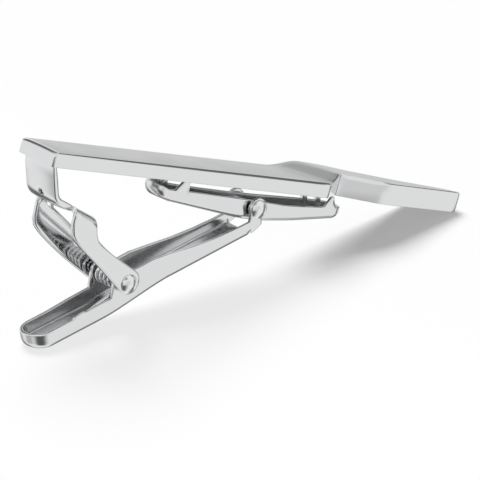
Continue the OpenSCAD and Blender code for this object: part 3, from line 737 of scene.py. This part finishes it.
def jaw_pad():
    """Columns along the near wall, round the back nose, along the far wall and round the front."""
    half = (JAW_W - JAW_T) / 2
    floor = lambda x: level(JAW_FLOOR, x) + JAW_T / 2
    back, front = Vector((-JAW_BACK_L + JAW_W / 2, 0)), Vector((JAW_FRONT_L - JAW_W / 2, 0))
    marks = [back.x, -12.2, -9, -8, -7, -6, -5, -4, -3, -2.2, -1.6, -1, 0, 1, 1.6, 2.2, 3, 4, 5, 6, 7,
             7.8, front.x]
    marks += [x for tooth in NEAR_TEETH + FAR_TEETH for x in tooth]
    marks = [x for x in sorted(set(round(x, 3) for x in marks)) if back.x <= x <= front.x]

    def wall_column(x, side, line, teeth):
        return channel_column(Vector((x, side * half)), Vector((x, 0)), JAW_BEND,
                              jaw_rim(x, line, teeth), floor)

    def nose(centre, first, bend):
        for k in range(1, NOSE_TURNS):
            a = 180 * k / NOSE_TURNS
            at = centre + half * way(first - a)
            share = math.sin(math.radians(a))
            line, other = (NEAR_RIM, FAR_RIM) if first == 270 else (FAR_RIM, NEAR_RIM)
            rim = mix(level(line, at.x), level(other, at.x), k / NOSE_TURNS)
            columns.append(channel_column(at, centre, mix(JAW_BEND, bend, share), rim, floor))

    columns = [wall_column(x, -1, NEAR_RIM, NEAR_TEETH) for x in reversed(marks)]
    nose(back, 270, BACK_BEND)
    columns += [wall_column(x, 1, FAR_RIM, FAR_TEETH) for x in marks]
    nose(front, 90, FRONT_BEND)
    columns.append(columns[0])
    thing = channel_mesh("jaw_pad_dressed", columns, JAW, JAW_T)
    # Painted shade: darker metal inside the pad
    paint_inside_shade(thing, JAW, back, JAW_FRONT_L, JAW_T)
    attach(thing, "jaw", "jaw_pad")


# Rivets: a shank and two domed heads, turned about Y.

CAP_STEPS, RIVET_SIDES = 12, 48
# How far a head's foot sinks into the sheet, and how much narrower it is than the head
HEAD_SUNK, HEAD_UNDERCUT = 0.01, 0.04


def cap(steepest, rim):
    """Profile of a head: a spherical cap on a low rim, in shares of its radius and height."""
    across, low = math.sin(math.radians(steepest)), math.cos(math.radians(steepest))
    points = [(1, 0.04), (1, 0.6 * rim), (0.995, rim)]
    for k in range(CAP_STEPS):
        t = math.radians(steepest * (1 - k / CAP_STEPS))
        points.append((0.99 * math.sin(t) / across, mix(rim + 0.02, 1, (math.cos(t) - low) / (1 - low))))
    return points


HIGH_DOME, LOW_DOME = cap(36, 0.2), cap(24, 0.3)


def rivet(name, place, shank_r, head_r, half, dome, body, node):
    """A shank that reaches half to each side, with a head of the same profile at both ends."""
    sunk = half - HEAD_SUNK
    side = [(shank_r, 0), (shank_r, sunk), (head_r - HEAD_UNDERCUT, sunk)]
    side += [(head_r * r, half + HEAD_H * h) for r, h in dome]
    profile = [(r, -y) for r, y in reversed(side[1:])] + side
    sides = RIVET_SIDES
    verts = [(r * math.cos(2 * math.pi * k / sides), y, r * math.sin(2 * math.pi * k / sides))
             for r, y in profile for k in range(sides)]
    rings = len(profile)
    faces = [(i * sides + k, i * sides + (k + 1) % sides, (i + 1) * sides + (k + 1) % sides,
              (i + 1) * sides + k) for i in range(rings - 1) for k in range(sides)]
    first, last = len(verts), len(verts) + 1
    verts += [(0, -half - HEAD_H, 0), (0, half + HEAD_H, 0)]
    faces += [(first, (k + 1) % sides, k) for k in range(sides)]
    faces += [(last, (rings - 1) * sides + k, (rings - 1) * sides + (k + 1) % sides) for k in range(sides)]
    thing = make(name, verts, faces, place, [riveted])
    attach(thing, body, node)


# Torsion spring

# Gap between the wire and the lever's floor, how deep the hook ends in the leg, and steps
WIRE_GAP, HOOK_SUNK, WIRE_BEND_STEPS, LEG_STEPS, TURN_STEPS, FOOT_STEPS = 0.03, 0.18, 8, 12, 28, 10
# Domed ends of the wire: how much a ring narrows, how far out it lies and the tip, in radii
END_NARROW, END_OUT, END_TIP = 0.25, 0.3, 0.42


def tube(name, path, r, place, material, sides=16):
    """A round wire along a path, with domed ends."""
    pts = [Vector(p) for p in path]
    ways = [(pts[min(i + 1, len(pts) - 1)] - pts[max(i - 1, 0)]).normalized() for i in range(len(pts))]
    side = ways[0].cross(Vector((0, 1, 0))).normalized()
    verts, faces = [], []
    for i, p in enumerate(pts):
        side = (side - ways[i] * side.dot(ways[i])).normalized()
        up = side.cross(ways[i])
        verts += [p + r * (math.cos(2 * math.pi * k / sides) * side + math.sin(2 * math.pi * k / sides) * up)
                  for k in range(sides)]
    for i in range(len(pts) - 1):
        faces += [(i * sides + k, i * sides + (k + 1) % sides, (i + 1) * sides + (k + 1) % sides,
                   (i + 1) * sides + k) for k in range(sides)]
    for end, sign in ((0, -1), (len(pts) - 1, 1)):
        base = end * sides
        dome = len(verts)
        verts += [mix(v, pts[end], END_NARROW) + ways[end] * sign * r * END_OUT
                  for v in verts[base:base + sides]]
        tip = len(verts)
        verts.append(pts[end] + ways[end] * sign * r * END_TIP)
        for k in range(sides):
            n = (k + 1) % sides
            faces += [(base + k, base + n, dome + n, dome + k), (dome + k, dome + n, tip)]
    return make(name, verts, faces, place, [material])


def torsion_spring():
    """From the hook in the leg through the web, round the coil and down to the lever's floor."""
    hook_end = hook_at + hook_out * (SHEET / 2 - HOOK_SUNK)
    thread_turn = thread_at + thread_way * THREAD_DROP
    upper = tangent(thread_turn, pivot_2d, COIL_R, 1) + 90
    foot_local = Vector((-FOOT_SHARE * THUMB_L, -THUMB_FLOOR + LEVER_T + WIRE_GAP + WIRE_D / 2))
    c, s = math.cos(slope), math.sin(slope)
    foot = pivot_2d + flat(foot_local.x * c - foot_local.y * s, foot_local.x * s + foot_local.y * c)
    lower = tangent(foot, pivot_2d, COIL_R, -1) - 90
    wound = upper - lower + 360 * COILS
    coil_half = COIL_PITCH * wound / 360 / 2
    top = pivot_2d + COIL_R * way(upper)
    leg = (bend(hook_end, hook_turn, thread_turn, WIRE_BEND_R, WIRE_BEND_STEPS)
           + bend(hook_turn, thread_turn, top, WIRE_BEND_R, WIRE_BEND_STEPS))
    points = [(hook_end.x, 0, hook_end.y)] + [(p.x, 0, p.y) for p in leg]
    for k in range(1, LEG_STEPS):
        t = k / LEG_STEPS
        p = mix(leg[-1], top, t)
        points.append((p.x, coil_half * t * t * (3 - 2 * t), p.y))
    steps = int(TURN_STEPS * wound / 360)
    for i in range(steps + 1):
        p = pivot_2d + COIL_R * way(upper - wound * i / steps)
        points.append((p.x, mix(coil_half, -coil_half, i / steps), p.y))
    end = pivot_2d + COIL_R * way(upper - wound)
    for k in range(1, FOOT_STEPS + 1):
        p = mix(end, foot, k / FOOT_STEPS)
        points.append((p.x, -coil_half, p.y))
    thing = tube("torsion_spring_dressed", points, WIRE_D / 2, BAR, wired)
    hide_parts("torsion_spring")
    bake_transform(thing)


# Studio: a pale floor that keeps the shadow, a white surround, and dark strips that only
# the metal sees.

# Half the floor's width in metres, and where along X it changes, in millimetres
FLOOR_HALF, CHANGE_FROM, CHANGE_TO = 1.5, 2, 15
# Share of the paint and of the shadow kept at the thumb end, and brightness of the floor
PAINT, FLOOR_GLOW, LIT, FAINT = 0.85, 0.1, 0.9, 0.32
# How much the white surround lights the clip's rough sides
SKY_LIGHT = 0.36
# Dark strips in the surround: azimuths (0 is +X, 90 is +Y), elevations, softness both ways, depth.
# Azimuths are counted from minus this cut, where all is light.
TURN_CUT = 236
STRIPS = [
    ((-158, -92), (-64, -12), 20, 8, 0.88),
    ((-196, -128), (-12, 17), 16, 6, 0.8),
    ((-222, -176), (-50, -14), 14, 9, 0.45),
    ((-118, -78), (26, 44), 8, 6, 0.85),
    ((-30, 34), (14, 38), 8, 6, 0.85),
    ((-24, 26), (-4, 14), 12, 8, 0.45),
    ((-36, 62), (-62, -41), 8, 5, 0.75),
    ((40, 68), (-44, -16), 6, 6, 0.7),
    ((-32, -6), (-46, -4), 5, 5, 0.75),
    ((40, 105), (27, 50), 8, 6, 0.88),
    ((66, 108), (-62, -34), 10, 8, 0.8),
    ((60, 106), (-40, -14), 12, 8, 0.4),
    ((-104, -62), (-12, 12), 12, 8, 0.2),
]


def floor():
    """Pale plane at the table's height."""
    size = FLOOR_HALF
    mesh = bpy.data.meshes.new("floor")
    mesh.from_pydata([(-size, -size, 0), (size, -size, 0), (size, size, 0), (-size, size, 0)], [],
                     [(0, 1, 2, 3)])
    thing = bpy.data.objects.new("floor", mesh)
    bpy.context.scene.collection.objects.link(thing)
    m = bpy.data.materials.new("floor_paint")
    m.use_nodes = True
    nodes, links = m.node_tree.nodes, m.node_tree.links
    nodes.clear()
    output = nodes.new("ShaderNodeOutputMaterial")
    paint = nodes.new("ShaderNodeBsdfDiffuse")
    glow = nodes.new("ShaderNodeEmission")
    both = nodes.new("ShaderNodeAddShader")
    seen = seen_directly(nodes, links)
    strength = nodes.new("ShaderNodeMath")
    strength.operation = "MULTIPLY"
    links.new(seen, strength.inputs[0])
    links.new(strength.outputs[0], glow.inputs["Strength"])
    # Towards the thumb end the floor glows more and takes a fainter shadow
    where = nodes.new("ShaderNodeTexCoord")
    split = nodes.new("ShaderNodeSeparateXYZ")
    links.new(where.outputs["Object"], split.inputs[0])
    for low, high, wanted in ((FAINT * PAINT, PAINT, paint.inputs["Color"]),
                              (FLOOR_GLOW + (1 - FAINT) * LIT, FLOOR_GLOW, strength.inputs[1])):
        change = nodes.new("ShaderNodeMapRange")
        change.interpolation_type = "SMOOTHSTEP"
        for key, number in (("From Min", CHANGE_FROM * MM), ("From Max", CHANGE_TO * MM),
                            ("To Min", low), ("To Max", high)):
            change.inputs[key].default_value = number
        links.new(split.outputs["X"], change.inputs["Value"])
        links.new(change.outputs["Result"], wanted)
    links.new(paint.outputs[0], both.inputs[0])
    links.new(glow.outputs[0], both.inputs[1])
    links.new(both.outputs[0], output.inputs["Surface"])
    mesh.materials.append(m)
    # The floor's reflection is left to the surround, which has the studio's dark strips
    thing.visible_glossy = False


def surround():
    """White behind the clip. Reflections also see dark strips, as round a product table."""
    world = bpy.data.worlds.new("surround")
    bpy.context.scene.world = world
    world.use_nodes = True
    nodes, links = world.node_tree.nodes, world.node_tree.links
    back = nodes["Background"]

    def node(kind, operation=None, *inputs):
        made = nodes.new(kind)
        if operation:
            made.operation = operation
        for i, value in enumerate(inputs):
            if isinstance(value, (int, float)):
                made.inputs[i].default_value = value
            else:
                links.new(value, made.inputs[i])
        return made

    def math_node(operation, *inputs):
        return node("ShaderNodeMath", operation, *inputs).outputs[0]

    def within(value, low, high, soft):
        """1 between two angles, falling smoothly to 0 past them."""
        sides = []
        for edge, (first, last) in ((low, (0, 1)), (high, (1, 0))):
            step = nodes.new("ShaderNodeMapRange")
            step.interpolation_type = "SMOOTHSTEP"
            links.new(value, step.inputs["Value"])
            for key, number in (("From Min", edge - soft), ("From Max", edge + soft),
                                ("To Min", first), ("To Max", last)):
                step.inputs[key].default_value = number
            sides.append(step.outputs["Result"])
        return math_node("MULTIPLY", *sides)

    where = nodes.new("ShaderNodeTexCoord")
    split = nodes.new("ShaderNodeSeparateXYZ")
    links.new(where.outputs["Generated"], split.inputs[0])
    turn = math_node("MULTIPLY", math_node("ARCTAN2", split.outputs["Y"], split.outputs["X"]), 180 / math.pi)
    turn = math_node("SUBTRACT", math_node("FLOORED_MODULO", math_node("ADD", turn, TURN_CUT), 360), TURN_CUT)
    rise = math_node("MULTIPLY", math_node("ARCSINE", split.outputs["Z"]), 180 / math.pi)
    light = None
    for azimuths, elevations, turn_soft, rise_soft, depth in STRIPS:
        mask = math_node("MULTIPLY", within(turn, *azimuths, turn_soft), within(rise, *elevations, rise_soft))
        kept = math_node("SUBTRACT", 1, math_node("MULTIPLY", mask, depth))
        light = kept if light is None else math_node("MULTIPLY", light, kept)
    path = nodes.new("ShaderNodeLightPath")
    seen = seen_directly(nodes, links)
    plain = nodes.new("ShaderNodeMapRange")
    plain.inputs["To Min"].default_value = SKY_LIGHT
    plain.inputs["To Max"].default_value = 1
    links.new(seen, plain.inputs["Value"])
    glossy = nodes.new("ShaderNodeMix")
    links.new(path.outputs["Is Glossy Ray"], glossy.inputs["Factor"])
    links.new(plain.outputs["Result"], glossy.inputs["A"])
    links.new(light, glossy.inputs["B"])
    links.new(glossy.outputs["Result"], back.inputs["Strength"])
    back.inputs["Color"].default_value = (1, 1, 1, 1)


def seen_directly(nodes, links):
    """1 for what the camera, a reflection or a view through something sees."""
    path = nodes.new("ShaderNodeLightPath")
    first, second = nodes.new("ShaderNodeMath"), nodes.new("ShaderNodeMath")
    for node in (first, second):
        node.operation = "MAXIMUM"
    links.new(path.outputs["Is Camera Ray"], first.inputs[0])
    links.new(path.outputs["Is Glossy Ray"], first.inputs[1])
    links.new(first.outputs[0], second.inputs[0])
    links.new(path.outputs["Is Transmission Ray"], second.inputs[1])
    return second.outputs[0]


def lamp(name, towards, strength, angle):
    """A distant lamp in one direction; its angle in degrees sets how soft the shadow is."""
    light = bpy.data.lights.new(name, "SUN")
    light.energy = strength
    light.angle = math.radians(angle)
    thing = bpy.data.objects.new(name, light)
    bpy.context.scene.collection.objects.link(thing)
    thing.rotation_mode = "QUATERNION"
    thing.rotation_quaternion = (-Vector(towards)).to_track_quat("-Z", "Y")
    thing.visible_glossy = False


# The photograph's right and down directions, its middle and the width it shows, and the
# camera's distance, all in the bar's frame and in millimetres
VIEW_RIGHT = Vector((0.72193, -0.64032, 0.26229))
VIEW_DOWN = Vector((0.07911, -0.30026, -0.95058))
VIEW_CENTRE = Vector((14.214, -17.048, -1.946))
VIEW_WIDTH = 48.325
VIEW_DISTANCE = 1950
# Width of the sensor in millimetres, and the nearest and farthest that is seen, in metres
SENSOR, CLIP = 36, (0.1, 10)


def camera():
    data = bpy.data.cameras.new("camera")
    data.sensor_width = SENSOR
    data.lens = data.sensor_width * VIEW_DISTANCE / VIEW_WIDTH
    data.clip_start, data.clip_end = CLIP
    thing = bpy.data.objects.new("camera", data)
    bpy.context.scene.collection.objects.link(thing)
    spin = BAR.to_3x3().normalized()
    right, up = spin @ VIEW_RIGHT, -(spin @ VIEW_DOWN)
    back = right.cross(up)
    place = Matrix((right, up, back)).transposed().to_4x4()
    place.translation = BAR @ VIEW_CENTRE + back * VIEW_DISTANCE * MM
    thing.matrix_world = place
    bpy.context.scene.camera = thing


camera()
floor()
surround()
lamp("key", (0.3, 0.68, 1), 2.7, 34)
front_bar()
bracket()
lever()
jaw_pad()
rivet("pivot_pin_dressed", PIVOT, PIN_R, PIN_HEAD_R, ears_half, HIGH_DOME, "bar", "pivot_pin")
rivet("jaw_pin_dressed", JAW, JAW_PIN_R, JAW_HEAD_R, LEVER_W / 2, LOW_DOME, "lever", "jaw_pin")
torsion_spring()

bpy.context.scene.view_settings.view_transform = "Standard"
